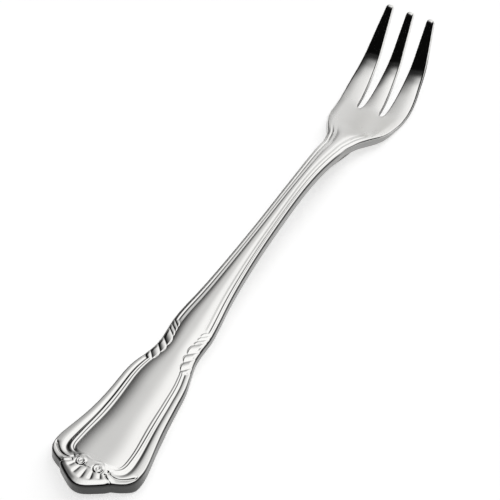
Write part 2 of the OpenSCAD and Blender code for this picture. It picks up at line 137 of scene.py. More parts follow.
# Fan centre, and the stretch of the middle line over which the fan's stations end
FAN_X = 1.03 * HALF_W
FAN_RUN = 0.1 * HALF_W
# Border width: round the shell end by angle, then by share of the length
END_BORDER_SHARES = [
    (0, 0.745), (20, 0.68), (SHELL_ANGLE, 0.545), (56, 0.51), (70, 0.48), (90, 0.445),
]
BORDER_SHARES = [
    (0.072, 0.445), (0.1, 0.39), (0.14, 0.343), (0.18, 0.3), (0.22, 0.27), (0.24, 0.245),
    (0.264, 0.235), (0.289, 0.22), (0.309, 0.21), (0.35, 0.205), (0.42, 0.175), (0.5, 0.155),
    (0.58, 0.15), (0.678, 0.178), (0.718, 0.19), (0.748, 0.213), (0.773, 0.245), (0.8, 0.27),
]
# Thickness: share of the length, shares of handle, shank and head thickness
THICKNESS_SHARES = [
    (0, 0.97, 0, 0), (0.07, 1, 0, 0), (0.13, 1, 0, 0), (0.165, 0.92, 0, 0),
    (0.2, 0.84, 0, 0), (0.27, 0.81, 0, 0), (0.31, 0.42, 0.45, 0), (0.38, 0.2, 0.74, 0),
    (0.5, 0, 1.02, 0), (0.64, 0, 1, 0), (0.7, 0, 0.93, 0), (0.76, 0, 0.5, 0.7),
    (0.795, 0, 0.3, 1.05), (0.82, 0, 0, 1.42), (0.845, 0, 0, 1.12), (0.87, 0, 0, 1),
    (0.91, 0, 0, 1.15), (0.96, 0, 0, 1.13),
]
# Height across the border, edge to panel, as a share of the thread height: below the
# knuckle a wide rim, a groove and a double thread, above it two rounded threads
RIM_SHARES = [
    (0, 0.26), (0.06, 0.28), (0.12, 0.28), (0.2, 0.24), (0.28, 0.12), (0.34, -0.04),
    (0.39, -0.18), (0.43, -0.22), (0.47, -0.14), (0.52, 0.06), (0.58, 0.27), (0.63, 0.33),
    (0.68, 0.24), (0.72, 0.1), (0.755, 0.07), (0.79, 0.14), (0.84, 0.22), (0.9, 0.15),
    (0.95, 0.05), (1, 0),
]
THREAD_SHARES = [
    (0, 0.1), (0.1, 0.35), (0.2, 0.42), (0.29, 0.3), (0.36, 0.08), (0.42, -0.06), (0.48, 0.02),
    (0.56, 0.18), (0.66, 0.24), (0.76, 0.19), (0.86, 0.1), (0.93, 0.05), (1, 0),
]
# The first of these round the corners of the shell end, where the groove turns into a
# hollow beside a leaf and the double thread stands higher
CORNER_RIM_SHARES = [
    (0, 0.6), (0.1, 0.65), (0.2, 0.62), (0.3, 0.4), (0.38, -0.05), (0.46, -0.5),
    (0.52, -0.15), (0.57, 0.35), (0.63, 0.7), (0.7, 0.4), (0.755, 0.22), (0.8, 0.3),
    (0.86, 0.38), (0.93, 0.18), (1, 0),
]
# Places of the groove and of the thread beside it in both tables, and how far each moves
# inwards towards the corners
GROOVE_AT, GROOVE_MOVE = 0.46, 0.07
CREST_AT, CREST_MOVE = 0.63, 0.14


# Smooth curve through a table of points, by cubic pieces, as in the solid
def curve(table, x):
    table = np.asarray(table, float)
    xs, ys = table[:, 0], table[:, 1]
    x = np.asarray(x, float)
    slopes = np.empty(len(xs))
    slopes[1:-1] = (ys[2:] - ys[:-2]) / (xs[2:] - xs[:-2])
    slopes[0] = (ys[1] - ys[0]) / (xs[1] - xs[0])
    slopes[-1] = (ys[-1] - ys[-2]) / (xs[-1] - xs[-2])
    i = np.clip(np.searchsorted(xs, x, side="right") - 1, 0, len(xs) - 2)
    run = xs[i + 1] - xs[i]
    s = np.clip((x - xs[i]) / run, 0, 1)
    value = ys[i] * (1 + 2 * s) * (1 - s) ** 2 + ys[i + 1] * s * s * (3 - 2 * s)
    return value + run * (slopes[i] * s * (1 - s) ** 2 - slopes[i + 1] * s * s * (1 - s))


# Smooth step from 0 at the start to 1 at the end
def ramp(x, start, end):
    s = np.clip((np.asarray(x, float) - start) / (end - start), 0, 1)
    return s * s * (3 - 2 * s)


# Bell-shaped ridge over a line: 1 on the line, fading with the distance
def ridge(distance, half):
    return np.exp(-((distance / half) ** 2))


def scaled(table, length, base, span):
    return [(row[0] * length, base + row[1] * span) for row in table]


PROFILE = scaled(SHANK_SHARES, FORK_L, HANDLE_T, CREST_H - HANDLE_T) + scaled(
    TINE_SHARES, FORK_L, HEAD_T, TIP_H - HEAD_T
)
OUTLINE = (
    scaled(HANDLE_SHARES, FORK_L, WAIST_W / 2, HALF_W - WAIST_W / 2)
    + scaled(SHANK_W_SHARES, FORK_L, SHANK_W / 2, (SWELL_W - SHANK_W) / 2)
    + scaled(HEAD_SHARES, FORK_L, 0, HEAD_W / 2)
    + scaled(SPREAD_SHARES, FORK_L, SPREAD_W / 2, (HEAD_W - SPREAD_W) / 2)
)
BORDER = scaled(BORDER_SHARES, FORK_L, 0, HALF_W)
END_BORDER = scaled(END_BORDER_SHARES, 1, 0, HALF_W)
SHELL_LINE = scaled(SHELL_SHARES, 1, 0, HALF_W)
CORNER_LINE = scaled(CORNER_SHARES, 1, 0, HALF_W)
THICKNESS = [
    (s * FORK_L, a * HANDLE_T + b * SHANK_T + c * HEAD_T) for s, a, b, c in THICKNESS_SHARES
] + [(FORK_L, TIP_T)]

# Step over which the slope of the side view is taken
TILT_STEP = 0.0005 * FORK_L
# Ends of the stretch of the handle whose underside lies flat on the table
REST_START = (0.035 * FORK_L, 0.055 * FORK_L)
REST_END = (0.135 * FORK_L, 0.155 * FORK_L)
# Stretch over which the head's hollow sets in, and the one over which it turns into a droop
DISH_START = (0.73 * FORK_L, 0.82 * FORK_L)
DISH_TURN = (0.9 * FORK_L, FORK_L)
DISH_DROOP = 1.5


def top_z(x):
    return curve(PROFILE, x)


def tilt(x):
    return np.arctan((top_z(x + TILT_STEP) - top_z(x - TILT_STEP)) / (2 * TILT_STEP))


def thick(x):
    rest = ramp(x, *REST_START) * (1 - ramp(x, *REST_END))
    return curve(THICKNESS, x) * (1 - rest) + rest * top_z(x) / np.cos(tilt(x))


def dish(x, y):
    droop = 1 - DISH_DROOP * ramp(x, *DISH_TURN)
    return DISH_D * (2 * y / HEAD_W) ** 2 * ramp(x, *DISH_START) * droop


# Point at a height over the plain top surface, square to its slope
def place(x, y, h):
    a = tilt(x)
    lift = h + dish(x, y)
    return np.stack([x - lift * np.sin(a), y, top_z(x) + lift * np.cos(a)], axis=-1)


# Distance of plan points from a smooth line through a few points, and the share of the
# way along it
def line_distance(x, y, points, pieces):
    points = np.asarray(points, float)
    share = np.linspace(0, 1, len(points))
    t = np.linspace(0, 1, pieces + 1)
    lx = curve(np.stack([share, points[:, 0]], 1), t)
    ly = curve(np.stack([share, points[:, 1]], 1), t)
    best = np.full(np.shape(x), np.inf)
    along = np.zeros(np.shape(x))
    for k in range(pieces):
        dx, dy = lx[k + 1] - lx[k], ly[k + 1] - ly[k]
        s = np.clip(((x - lx[k]) * dx + (y - ly[k]) * dy) / (dx * dx + dy * dy), 0, 1)
        d = np.hypot(x - lx[k] - s * dx, y - ly[k] - s * dy)
        closer = d < best
        best = np.where(closer, d, best)
        along = np.where(closer, t[k] + s * (t[k + 1] - t[k]), along)
    return best, along


# Twisted lobes of the knuckle: where each starts by share of the length, how far they
# bulge into the panel, how much they lean and about which line, and how sharp their grooves are
LOBE_SHARES = [0.238, 0.247, 0.262, 0.276, 0.294, 0.3015, 0.309, 0.316]
LOBE_BULGE = 0.4
LOBE_LEAN = 0.85
LOBE_LINE = 0.12 * HALF_W
LOBE_POWER = 0.75
# From this lobe on they are finer strands, lower by this share
STRAND_AT = LOBE_SHARES[4]
STRAND_RUN = (0.004, 0.006)
STRAND_FADE = 0.6
KNUCKLE = (LOBE_SHARES[0] * FORK_L, LOBE_SHARES[-1] * FORK_L)


# 0 in a groove between lobes, 1 on a crest
def lobe_at(x, y, w):
    s = (x - LOBE_LEAN * (y - w + LOBE_LINE)) / FORK_L
    marks = np.array(LOBE_SHARES)
    i = np.clip(np.searchsorted(marks, s, side="right") - 1, 0, len(marks) - 2)
    hump = np.abs(np.sin(math.pi * (s - marks[i]) / (marks[i + 1] - marks[i]))) ** LOBE_POWER
    strand = ramp(s, STRAND_AT - STRAND_RUN[0], STRAND_AT + STRAND_RUN[1])
    hump = hump * (1 - STRAND_FADE * strand)
    return np.where((s > marks[0]) & (s < marks[-1]), hump, 0)


def knuckle(x):
    start, end = KNUCKLE
    return ramp(x, start - EDGE_R, start + EDGE_R) * (1 - ramp(x, end - EDGE_R, end + EDGE_R))


def border_width(xs, xe, ye, angle):
    plain = curve(BORDER, xe)
    bulge = LOBE_BULGE * lobe_at(xs, ye - plain, ye) * knuckle(xs)
    return np.where(angle < 90, curve(END_BORDER, angle), plain + bulge)


# Crowned panel: its height, the run over which it rises from each long side, how round it
# is, and how fast it gets lower where the panel is narrower than that run
PANEL_CROWN = 0.55
CROWN_RUN = 4.5
CROWN_ROUND = 3
CROWN_POWER = 0.65


def panel_level(x, y):
    place_x = np.maximum(x, FAN_X)
    half = curve(OUTLINE, place_x) - curve(BORDER, place_x)
    run = np.minimum(CROWN_RUN, half)
    rise = 1 - (1 - np.clip((half - np.abs(y)) / run, 0, 1)) ** CROWN_ROUND
    return PANEL_CROWN * (run / CROWN_RUN) ** CROWN_POWER * rise


# Shell: ribs on each half, depth and sharpness of the slits between them, and the fan
# angles over which they end
RIB_N = 3
RIB_D = 0.24
RIB_POWER = 1.3
RIB_FADE = (33, 37)
# By share of the border: where the slits open and run out, and where the shell rises from
# its rim and falls to the panel; height of the rim as a share of the shell's
SLIT_OPEN, SLIT_CLOSE = (0.17, 0.27), (0.3, 0.66)
SHELL_RISE, SHELL_FALL = (0, 0.2), (0.5, 0.8)
SHELL_RIM = 0.25


# Fan of ribs: lobes between narrow slits, which open towards the rim and end short of it
def shell_relief(x, y, r, angle):
    rib = 1 - np.abs(np.sin(math.pi * RIB_N * angle / SHELL_ANGLE))
    rib = rib * (1 - ramp(angle, *RIB_FADE))
    slit = ramp(r, *SLIT_OPEN) * (1 - ramp(r, *SLIT_CLOSE))
    fall = ramp(r, *SHELL_FALL)
    body = SHELL_H * (SHELL_RIM + (1 - SHELL_RIM) * ramp(r, *SHELL_RISE)) * (1 - fall)
    return body + panel_level(x, y) * fall - RIB_D * slit * rib**RIB_POWER


# Carved lines of the corner leaves: points in plan, depth and half width
LEAF_LINES = [
    (
        [(8.3, 9.9), (7.2, 9.0), (6.1, 7.7), (5.6, 6.6), (5.5, 5.5), (5.7, 4.6), (6.3, 3.9)],
        0.42,
        0.22,
    ),
    ([(3.2, 6.3), (3.75, 5.8), (4.1, 5.1), (4.5, 4.35), (5.1, 3.8)], 0.3, 0.2),
]
LEAF_PIECES = 40
# Shares of the way over which such a line sets in and runs out
LEAF_START, LEAF_END = (0, 0.12), (0.93, 1)
# Shares of the depth in the narrow cut and in the hollow round it, and how much wider the
# hollow is
CUT_SHARE, HOLLOW_SHARE, HOLLOW_TIMES = 0.7, 0.3, 3


def corner_relief(x, y):
    total = np.zeros(np.shape(x))
    for points, depth, half in LEAF_LINES:
        d, along = line_distance(x, y, points, LEAF_PIECES)
        fade = ramp(along, *LEAF_START) * (1 - ramp(along, *LEAF_END))
        cut, hollow = ridge(d, half), ridge(d, HOLLOW_TIMES * half)
        total = total - fade * depth * (CUT_SHARE * cut + HOLLOW_SHARE * hollow)
    return total


# Pair of scrolls at the foot of the panel: middle in plan, radius and half width of the line
SCROLL_X = 5.37
SCROLL_Y = 2.03
SCROLL_R = 1.0
SCROLL_LINE = 0.17
# The line starts at an angle in degrees, makes these turns, and winds inwards from a share
# of its way on; radii as shares of the scroll's, and how much of its height the line loses
SCROLL_START, SCROLL_TURNS, SCROLL_POINTS, SCROLL_PIECES = 200, 1.7, 34, 80
WIND_FROM, WIND_R, WIND_IN, WIND_FADE = 0.45, 0.86, 0.62, 0.3
# Bed under the scroll, and the moat round it on the side of the shell
BED_H, BED_EDGE = 0.08, (0.9 * SCROLL_R, 1.4 * SCROLL_R)
MOAT_D, MOAT_R, MOAT_HALF, MOAT_RUN = 0.12, 1.12 * SCROLL_R, 0.14, 0.7
# Bar between the scrolls, the cut below it and the lip above: points in plan, height, half
# width and pieces
BAR = ([(5.2, 0), (5.2, 0.5), (5.2, 1.2)], 0.7 * SCROLL_H, 0.35, 4)
BAR_CUT = ([(4.68, 0), (4.68, 0.6), (4.7, 1.2)], -0.16, 0.16, 4)
LIP = ([(6.75, 0), (6.85, 0.9), (7.15, 2.0), (6.9, 3.1), (6.1, 3.5)], 0.08, 0.2, 16)
LIP_END = (0.65, 0.9)


def line_relief(x, y, points, height, half, pieces):
    d, along = line_distance(x, y, points, pieces)
    return height * ridge(d, half), along


def scroll_relief(x, y):
    turn = np.linspace(0, 1, SCROLL_POINTS)
    angle = math.radians(SCROLL_START) - turn * 2 * math.pi * SCROLL_TURNS
    wound = np.clip((turn - WIND_FROM) / (1 - WIND_FROM), 0, 1)
    radius = SCROLL_R * (WIND_R - WIND_IN * wound)
    spiral = np.stack([SCROLL_X - radius * np.cos(angle), SCROLL_Y + radius * np.sin(angle)], 1)
    rings, along = line_relief(x, y, spiral, SCROLL_H, SCROLL_LINE, SCROLL_PIECES)
    rings = rings * (1 - WIND_FADE * along)
    from_middle = np.hypot(x - SCROLL_X, y - SCROLL_Y)
    bed = BED_H * (1 - ramp(from_middle, *BED_EDGE))
    moat = -MOAT_D * ridge(from_middle - MOAT_R, MOAT_HALF)
    moat = moat * (1 - ramp(x, SCROLL_X, SCROLL_X + MOAT_RUN))
    bar = line_relief(x, y, *BAR)[0]
    cut = line_relief(x, y, *BAR_CUT)[0]
    lip, along = line_relief(x, y, *LIP)
    return rings + bed + moat + bar + cut + lip * (1 - ramp(along, *LIP_END))


# Slope at which the border falls to the outer edge, below and above the knuckle
BORDER_FALL, SHANK_FALL = 0.05, 0.15
# Stretches of x over which the border takes its form for the corners: places of its lines,
# then their heights
CORNER_PLACES, CORNER_HEIGHTS = (10, 22), (10, 28)
# Plain rim beside the shell: height as a share of the threads', its fall across the border,
# and the fan angles over which the lines set in
PLAIN_H, PLAIN_FALL, PLAIN_END = 0.8, (0.35, 1), (45, 60)
# Shares of the border over which the lobes rise from its edge and fall to the panel
LOBE_RISE, LOBE_DROP = (-0.15, 0.25), (0.8, 1.02)
# Stretch over which the outer thread and the panel fade on the head
HEAD_FADE = (0.76 * FORK_L, 0.797 * FORK_L)
# Rounded end of the inner thread on the head: x of its tip, length of the rounding, middle
# and half width by share of the border, x from the tip over which it fades, and the shares
# of the border between the two threads
THREAD_TIP_X, THREAD_ROUND, THREAD_MIDDLE, THREAD_HALF = 113.0, 0.9, 0.78, 0.2
THREAD_FADE = (0.6, 0.3)
BETWEEN_THREADS = (0.54, 0.62)
# Share of the border from which it runs into the panel: beside the scrolls, how much later
# along the handle, and the fan angles between the two
BLEND_FROM, BLEND_LATER, BLEND_ANGLES = 0.55, 0.39, (48, 68)
# Fan angles over which the shell gives way to the border
SHELL_END = (38.5, 49.5)
# The leaf lines and scrolls lie below this x
CARVED_X = 0.09 * FORK_L


# Place in the border tables of a share c across the border: towards the corners the groove
# and the thread beside it move inwards
def table_place(x, c):
    to_corner = 1 - ramp(x, *CORNER_PLACES)
    groove, crest = GROOVE_AT + GROOVE_MOVE * to_corner, CREST_AT + CREST_MOVE * to_corner
    between = (c - groove) / (crest - groove)
    beyond = (c - crest) / (1 - crest)
    u = np.where(c > groove, GROOVE_AT + between * (CREST_AT - GROOVE_AT), c * GROOVE_AT / groove)
    return np.where(c > crest, CREST_AT + beyond * (1 - CREST_AT), u)


# Heights of the border's threads and of the knuckle's lobes, at a distance d from the edge
# of a border b wide
def border_relief(x, y, d, b, c, angle, edge_r):
    above = ramp(x, *KNUCKLE)
    u = table_place(x, c)
    corner = 1 - ramp(x, *CORNER_HEIGHTS)
    rim = curve(RIM_SHARES, u) * (1 - corner) + curve(CORNER_RIM_SHARES, u) * corner
    plain = PLAIN_H * (1 - ramp(c, *PLAIN_FALL))
    rim = plain + (rim - plain) * ramp(angle, *PLAIN_END)
    threads = THREAD_H * (rim * (1 - above) + curve(THREAD_SHARES, c) * above)
    across = ramp(c, *LOBE_RISE) * (1 - ramp(c, *LOBE_DROP))
    lobes = LOBE_H * lobe_at(x, y, y + d) * across
    k = knuckle(x)
    outward = BORDER_FALL + (SHANK_FALL - BORDER_FALL) * above
    return threads * (1 - k) + lobes * k - outward * (b - edge_r) * (1 - c)


# Struck pattern as heights over the plain top surface
def relief(x, y, d, b, angle, edge_r):
    c = np.clip((d - edge_r) / (b - edge_r), 0, 1)
    border = border_relief(x, y, d, b, c, angle, edge_r)
    # On the head the inner thread ends in a rounded tip, and the outer one and the panel fade
    fade = 1 - ramp(x, *HEAD_FADE)
    panel = fade * panel_level(x, y)
    tip = THREAD_TIP_X - THREAD_ROUND * ((c - THREAD_MIDDLE) / THREAD_HALF) ** 2
    tip_fade = 1 - ramp(x, tip - THREAD_FADE[0], tip + THREAD_FADE[1])
    border = border * (fade + (tip_fade - fade) * ramp(c, *BETWEEN_THREADS))
    # The last of the border runs smoothly into the panel, sooner beside the scrolls
    blend_from = BLEND_FROM + BLEND_LATER * ramp(angle, *BLEND_ANGLES)
    border = border + (panel - border) * ramp(c, blend_from, 1)
    end = 1 - ramp(angle, *SHELL_END)
    shell = shell_relief(x, y, np.clip(d / b, 0, 1), angle)
    total = np.where(d >= b, panel, border * (1 - end) + shell * end)
    return total + np.where(x < CARVED_X, corner_relief(x, y) + scroll_relief(x, y), 0)


# Stations: count over the shell, degrees between them round the corner, then the far end
# of each stretch by share of the length with the step in it, the steps up to the roots of
# the tines and along them, and the count round a tip
SHELL_STATIONS = 71
CORNER_STEP = 0.75
STRETCHES = [(0.23, 0.35), (0.315, 0.1), (0.72, 0.5), (0.8, 0.15)]
ROOT_STEP, TINE_STEP = 0.35, 0.3
TIP_STATIONS = 6


def stretch(start, end, step):
    n = max(int(round((end - start) / step)), 1)
    return start + (end - start) * np.arange(1, n + 1) / n


# Stations along the fork: x on the middle line, place on the edge and fan angle
def station_table():
    angles = np.concatenate(
        [np.linspace(0, SHELL_ANGLE, SHELL_STATIONS), stretch(SHELL_ANGLE, 90, CORNER_STEP)]
    )
    on_shell = angles <= SHELL_ANGLE
    radius = np.where(on_shell, curve(SHELL_LINE, angles), curve(CORNER_LINE, angles))
    turn = np.radians(angles)
    fan = np.stack(
        [
            FAN_X - FAN_RUN * (1 - angles / 90),
            FAN_X - radius * np.cos(turn),
            radius * np.sin(turn),
            angles,
        ],
        axis=1,
    )
    ends = [share * FORK_L for share, _ in STRETCHES] + [ROOT_X - SLOT_W / 2]
    starts = [FAN_X] + ends[:-1]
    steps = [step for _, step in STRETCHES] + [ROOT_STEP]
    before = np.concatenate([stretch(*row) for row in zip(starts, ends, steps)])
    root_i = len(fan) + len(before)
    tip_x = FORK_L - TIP_T * math.sin(tilt(FORK_L - TIP_T))
    tip_turn = np.linspace(0, 1, TIP_STATIONS + 1)[1:]
    x = np.concatenate(
        [
            before,
            [ROOT_X + SLOT_W / 2],
            stretch(ROOT_X + SLOT_W / 2, tip_x - TIP_R, TINE_STEP),
            tip_x - TIP_R + TIP_R * np.sin(tip_turn * math.pi / 2),
        ]
    )
    plain = np.stack([x, x, curve(OUTLINE, x), np.full(len(x), 90.0)], axis=1)
    return np.concatenate([fan, plain]), root_i, tip_x


# Stretches over which the rows of points turn into the head's, the tines set in, and the
# edge takes the radius of the handle
HEAD_START = (0.775 * FORK_L, 0.83 * FORK_L)
TINE_START = (ROOT_X - SLOT_W / 2, ROOT_X + 2 * SLOT_W)
END_R_RUN = (FAN_X, 0.15 * FORK_L)
# Underside: stretch over which its rows turn into the head's, radius of its slot edges as a
# share of the upper ones, and shares of the half width that stand for the slot on the handle
UNDER_START = (0.6 * FORK_L, 0.83 * FORK_L)
UNDER_SLOT = 0.8
UNDER_IN_SHARE, UNDER_OUT_SHARE = 0.25, 0.55


# Values of every station, one row each
class Stations:
    def __init__(self):
        table, self.root_i, tip_x = station_table()
        self.xs, self.xe, self.ye, self.angle = [table[:, i : i + 1] for i in range(4)]
        self.last = len(table) - 1
        index = np.arange(len(table))[:, None]
        self.at_root, self.open_slot = index == self.root_i, index > self.root_i
        # Half width, border width, and how far the station belongs to the head and the tines
        self.w = np.hypot(self.xe - self.xs, self.ye)
        self.b = border_width(self.xs, self.xe, self.ye, self.angle)
        self.on_head = ramp(self.xs, *HEAD_START)
        self.tines_on = ramp(self.xs, *TINE_START)
        # Rounding of the tips
        tip_share = np.clip((self.xs - tip_x + TIP_R) / TIP_R, 0, 1)
        self.inset = TIP_R * (1 - np.sqrt(1 - tip_share**2))
        shrink = 1 - TIP_SHRINK * self.inset / TIP_R
        # Half width of the middle tine, and distance of the outer tine from the middle line
        along = np.clip((self.xs - ROOT_X) / (tip_x - ROOT_X), 0, 1)
        self.inner = (TINE_W + (TIP_W - TINE_W) * along**TINE_TAPER) / 2
        outer_root = TINE_W / 2 + SLOT_W
        self.outer = outer_root + (SPREAD_W / 2 - TIP_W - outer_root) * along
        # Edge radii
        self.edge_r = EDGE_R + (END_R - EDGE_R) * (1 - ramp(self.xs, *END_R_RUN))
        self.slot_r = SLOT_R * shrink
        self.head_r = (HEAD_R + (TINE_R - HEAD_R) * self.tines_on) * shrink
        self.under = ramp(self.xs, *UNDER_START)
        self.under_r = (UNDER_R * (1 - self.under) + TINE_R * self.under) * shrink
        self.under_slot_r = UNDER_SLOT * self.slot_r * self.under


# Counts of points across the half fork: rounded edge, border and panel on the handle; slot
# edge, web and outer tine on the head; rounded edges below
N_EDGE, N_BORDER, N_PANEL = 9, 64, 20
N_SLOT, N_WEB, N_OUTER, N_UNDER = 7, 11, 22, 6
N_TOP = N_EDGE + N_BORDER + N_PANEL
N_MIDDLE = N_BORDER + N_PANEL - N_OUTER - 2 * N_SLOT - N_WEB + 2
EDGE_TURN = np.linspace(0, math.pi / 2, N_EDGE, endpoint=False)
SLOT_TURN = np.linspace(0, math.pi / 2, N_SLOT)
UNDER_TURN = np.linspace(0, math.pi / 2, N_UNDER)
WEB_SHARES = (1 - np.cos(math.pi * np.linspace(0, 1, N_WEB))) / 2
WALL_SHARES = (0.2, 0.4, 0.6, 0.8)
# Points at the outer and the inner wall of the slot, above and below
TOP_OUT = N_EDGE + N_OUTER + N_SLOT - 1
TOP_IN = TOP_OUT + N_WEB - 1
UNDER_OUT = 3 * N_UNDER - 2
UNDER_IN = UNDER_OUT + N_WEB - 1


# Rows of the handle's top, as distance from the edge and height over the plain surface:
# rounded edge, border and panel
def handle_rows(f):
    c = np.linspace(0, 1, N_BORDER)
    q = np.linspace(0, 1, N_PANEL + 1)[1:]
    edge_d = f.edge_r * (1 - np.cos(EDGE_TURN))
    border_d = f.edge_r + c * (f.b - f.edge_r)
    d = np.concatenate([edge_d, border_d, f.b + q * (f.w - f.b)], axis=1)
    h = np.zeros_like(d)
    h[:, :N_EDGE] = -f.edge_r * (1 - np.sin(EDGE_TURN))
    return d, h


# The same for the head: rounded edge, outer tine, slot edge, web, slot edge, middle tine
def head_rows(f):
    d_out = f.w - f.outer - f.inset
    d_in = f.w - f.inner + f.inset
    outer_share = np.linspace(0, 1, N_OUTER, endpoint=False)
    middle_share = np.linspace(0, 1, N_MIDDLE + 1)[1:]
    d = np.concatenate(
        [
            f.inset + f.head_r * (1 - np.cos(EDGE_TURN)),
            f.inset + f.head_r + outer_share * (d_out - f.inset - f.slot_r - f.head_r),
            d_out - f.slot_r + f.slot_r * np.sin(SLOT_TURN)[:-1],
            d_out + WEB_SHARES * (d_in - d_out),
            d_in + f.slot_r * (1 - np.cos(SLOT_TURN))[1:],
            d_in + f.slot_r + middle_share * (f.w - d_in - f.slot_r),
        ],
        axis=1,
    )
    h = np.zeros_like(d)
    h[:, :N_EDGE] = -f.head_r * (1 - np.sin(EDGE_TURN))
    out_edge = slice(TOP_OUT - N_SLOT + 1, TOP_OUT + 1)
    in_edge = slice(TOP_IN, TOP_IN + N_SLOT)
    h[:, out_edge] = -f.slot_r * (1 - np.cos(SLOT_TURN)) * f.open_slot
    h[:, in_edge] = -f.slot_r * (1 - np.sin(SLOT_TURN)) * f.open_slot
    # Crown of each tine, and the fall of the head towards its edges
    y = f.w - d
    in_outer = y > (f.inner + f.outer) / 2
    half = np.where(in_outer, (f.w - f.outer) / 2, f.inner)
    from_middle = np.where(in_outer, y - (f.w + f.outer) / 2, y) / half
    crown = CROWN_SHARE * half * np.clip(from_middle, -1, 1) ** 2
    crown = crown * np.where(in_outer & (from_middle < 0), INNER_CROWN, 1)
    fall = FALL_SHARE * HEAD_FALL * np.clip(1 - d / HEAD_FALL, 0, 1) ** 2
    return d, h - crown * f.tines_on - fall * (1 - f.tines_on) - TIP_DROP * f.inset


def top_rows(f):
    rows = zip(handle_rows(f), head_rows(f))
    return [handle * (1 - f.on_head) + head * f.on_head for handle, head in rows]


# Underside rows, with heights over its own plain surface: rounded edge, outer tine, slot
# edge, web, slot edge, middle tine
def under_rows(f):
    on_handle = 1 - f.under
    d_in = f.w - f.inner * f.under - UNDER_IN_SHARE * f.w * on_handle + f.inset
    d_out = f.w - f.outer * f.under - UNDER_OUT_SHARE * f.w * on_handle - f.inset
    share = np.linspace(0, 1, N_UNDER + 1)[1:]
    r, slot_r = f.under_r, f.under_slot_r
    d = np.concatenate(
        [
            f.inset + r * (1 - np.cos(UNDER_TURN)),
            f.inset + r + share * (d_out - slot_r - r - f.inset),
            d_out - slot_r + slot_r * np.sin(UNDER_TURN)[1:],
            d_out + WEB_SHARES[1:] * (d_in - d_out),
            d_in + slot_r * (1 - np.cos(UNDER_TURN))[1:],
            d_in + slot_r + share * (f.w - d_in - slot_r),
        ],
        axis=1,
    )
    h = np.zeros_like(d)
    h[:, :N_UNDER] = r * (1 - np.sin(UNDER_TURN))
    out_edge = slice(UNDER_OUT - N_UNDER + 1, UNDER_OUT + 1)
    in_edge = slice(UNDER_IN, UNDER_IN + N_UNDER)
    h[:, out_edge] = slot_r * (1 - np.cos(UNDER_TURN)) * f.open_slot
    h[:, in_edge] = slot_r * (1 - np.sin(UNDER_TURN)) * f.open_slot
    return d, h + TIP_DROP * f.inset


# Plan position of points at a distance from the edge; the station at the roots of the
# tines bends back round the end of the slot
def plan(f, d):
    y = f.ye * (1 - d / f.w)
    x = f.xe + (f.xs - f.xe) * d / f.w
    from_slot = y - SLOT_Y
    inside = np.abs(from_slot) < SLOT_W / 2
    back = np.sqrt(np.maximum((SLOT_W / 2) ** 2 - from_slot**2, 0)) * inside
    return x - back * f.at_root, y


# One ring of points for each station: from the middle line of the top, round the edge, to
# the middle line of the underside
def fork_rings(f, top_d, top_h, under_d, under_h):
    x, y = plan(f, top_d)
    pattern = relief(x, y, top_d, f.b, f.angle, f.edge_r)
    top = place(x, y, top_h + pattern * (1 - f.on_head))
    x, y = plan(f, under_d)
    under = place(x, y, under_h - thick(x))
    walls = [top[:, :1] * (1 - s) + under[:, :1] * s for s in WALL_SHARES]
    rings = np.concatenate([top[:, ::-1]] + walls + [under], axis=1)
    # The first station and the ends of every ring lie on the middle line
    rings[0, :, 1] = 0
    rings[:, 0, 1] = 0
    rings[:, -1, 1] = 0
    rings[0, 0] = rings[1, 0]
    rings[0, -1] = rings[1, -1]
    return rings


# Faces between the rings of m points, walls of the slots, and the flat ends of the tips
def fork_faces(f, m):
    t_out, t_in = N_TOP - 1 - TOP_OUT, N_TOP - 1 - TOP_IN
    v_out, v_in = [N_TOP + len(WALL_SHARES) + point for point in (UNDER_OUT, UNDER_IN)]
    faces = []
    for i in range(f.last):
        for j in range(m - 1):
            if i < f.root_i or not (t_in <= j < t_out or v_out <= j < v_in):
                a = i * m + j
                faces.append((a, a + 1, a + m + 1, a + m))
    for i in range(f.root_i, f.last):
        a = i * m
        faces.append((a + v_out, a + m + v_out, a + m + t_out, a + t_out))
        faces.append((a + t_in, a + m + t_in, a + m + v_in, a + v_in))
    for k in range(N_WEB - 1):
        over, below = f.root_i * m + t_out - k, f.root_i * m + v_out + k
        faces.append((below, below + 1, over - 1, over))
    a = f.last * m
    faces.append(tuple(a + j for j in (*range(t_in + 1), *range(v_in, m))))
    faces.append(tuple(a + j for j in range(t_out, v_out + 1)))
    return faces


# Painted shade of the edge walls beside the polished faces: a darker base colour in place of
# the dark reflections and contact shade there. It lies round the shell end, on the handle, on
# the shank, and in the painted dark line along the top edge
END_PAINTED_SHADE, HANDLE_PAINTED_SHADE, SHANK_PAINTED_SHADE, LINE_PAINTED_SHADE = 0.11, 0.3, 0.42, 0.06
# Fan angles and stretch of x over which the shell end's painted shade ends, and the stretch
# over which the handle's turns into the shank's
END_ANGLES, END_X = (70, 90), (6, 13)
PAINTED_SHADE_RUN = (0.17 * FORK_L, 0.41 * FORK_L)
# Painted shade along the tines by share of the length: outer walls and slot walls
OUTER_PAINTED_SHADES = [(0.85, 0.42), (0.88, 0.25), (0.9, 0.1), (0.945, 0.08), (0.965, 0.8), (1, 0.9)]
SLOT_PAINTED_SHADES = [(0.85, 0.1), (0.885, 0.2), (0.91, 0.6), (0.93, 0.95), (1, 0.95)]
# By turn of the rounded top edge in radians: where the wall's painted shade ends, where the
# painted dark line ends, and how much further it goes round the shell end
WALL_TURN, LINE_TURN, LINE_MORE = (0, 0.7), (0.45, 1.05), (0.25, 0.15)
LINE_FADE = (0.7 * FORK_L, 0.78 * FORK_L)
# Painted shade of the underside, and where it sets in on its rounded edge
UNDER_PAINTED_SHADE, UNDER_TURN_RUN = 0.8, (0.3, 1.3)
# Satin steel: half width of its change at the panel's edge, and where it ends on the head
SATIN_EDGE = 0.3
SATIN_END = (0.86 * FORK_L, 0.93 * FORK_L)
